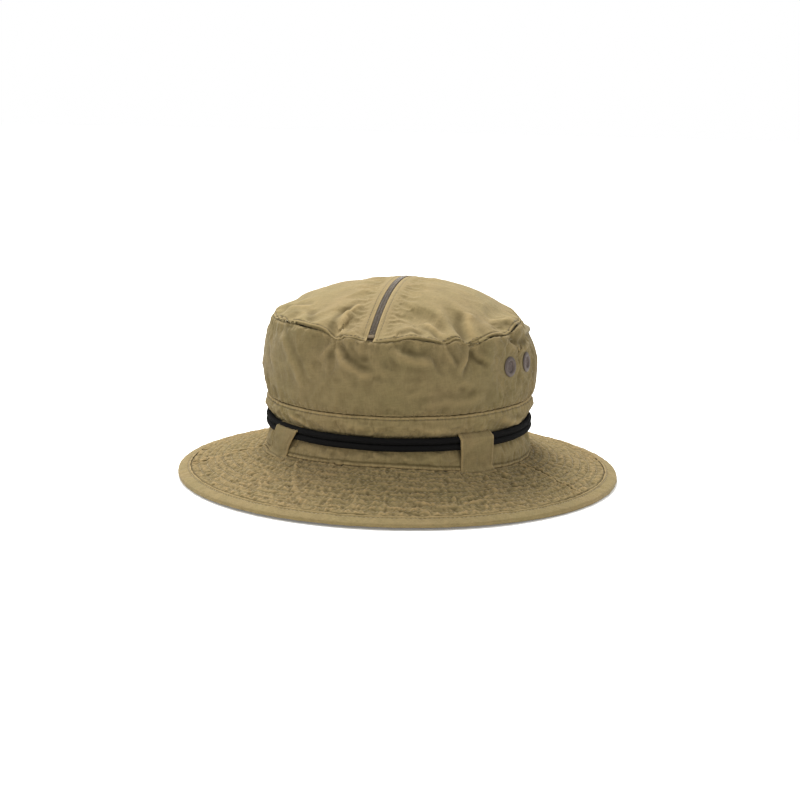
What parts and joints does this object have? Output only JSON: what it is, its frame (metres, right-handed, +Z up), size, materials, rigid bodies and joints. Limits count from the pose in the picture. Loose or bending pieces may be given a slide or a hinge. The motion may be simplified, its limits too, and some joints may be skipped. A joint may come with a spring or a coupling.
{
  "type": "boonie hat",
  "caption": "Soft cotton boonie hat with a domed zipped crown, screened side vents, a stitched brim and a doubled cord held by loops and a sprung cord lock.",
  "frame": {"origin": "on the surface that the brim's edge rests on, under the centre of the crown", "axes": "+Z up through the crown, -Y the wearer's front, +X the wearer's left"},
  "size_m": [0.3054, 0.3194, 0.137],
  "materials": {
    "crown_cloth": "washed cotton twill, matte, olive-khaki",
    "brim_cloth": "washed cotton twill with rows of stitching, matte, sandy khaki",
    "inner_cloth": "plain cotton lining, matte",
    "cord": "black braided cord, matte",
    "lock_plastic": "black moulded plastic",
    "spring_steel": "bare spring wire",
    "gunmetal": "blackened brass, worn",
    "vent_mesh": "fine woven wire, darkened",
    "zip_tape": "woven tape, brown",
    "zip_coil": "moulded nylon coil, brown"
  },
  "bodies": {
    "hat": {"crown_tip_left": "crown_cloth", "crown_tip_right": "crown_cloth", "crown_side_wall": "crown_cloth", "crown_lower_band": "crown_cloth", "crown_seam_tape": "inner_cloth", "pocket_lining": "inner_cloth", "sweatband": "inner_cloth", "brim_top_front": "brim_cloth", "brim_top_back": "brim_cloth", "brim_interlining": "inner_cloth", "brim_under_front": "brim_cloth", "brim_under_back": "brim_cloth", "brim_binding": "brim_cloth", "loop_front_left": "crown_cloth", "loop_front_right": "crown_cloth", "loop_rear_left": "crown_cloth", "loop_rear_right": "crown_cloth", "hat_cord": "cord", "cord_lock_barrel": "lock_plastic", "cord_lock_spring": "spring_steel", "cord_tail_left": "cord", "cord_tail_right": "cord", "cord_knot_left": "cord", "cord_knot_right": "cord", "vent_eyelets": "gunmetal", "vent_washers": "gunmetal", "vent_screens": "vent_mesh", "zip_tape_left": "zip_tape", "zip_tape_right": "zip_tape", "zip_coil_left": "zip_coil", "zip_coil_right": "zip_coil", "zip_front_stop": "gunmetal", "zip_back_stop": "gunmetal"},
    "slider": {"zip_slider": "gunmetal"},
    "pull": {"zip_pull": "gunmetal"},
    "button": {"cord_lock_plunger": "lock_plastic"}
  },
  "joints": [
    {"name": "zip_run", "type": "hinge", "parent": "hat", "child": "slider", "pos_m": [0, 0, -0.022], "axis": [1, 0, 0], "range_deg": [0, 64.8]},
    {"name": "pull_swing", "type": "hinge", "parent": "slider", "child": "pull", "pos_m": [0, 0.08712, 0.11529], "axis": [1, 0, 0], "range_deg": [0, 160]},
    {"name": "lock_press", "type": "slide", "parent": "hat", "child": "button", "axis": [-1, 0, 0], "range_m": [0, 0.0032], "stiffness_N_per_m": 300, "springref_m": -0.002, "deforming": ["cord_lock_spring"]}
  ]
}
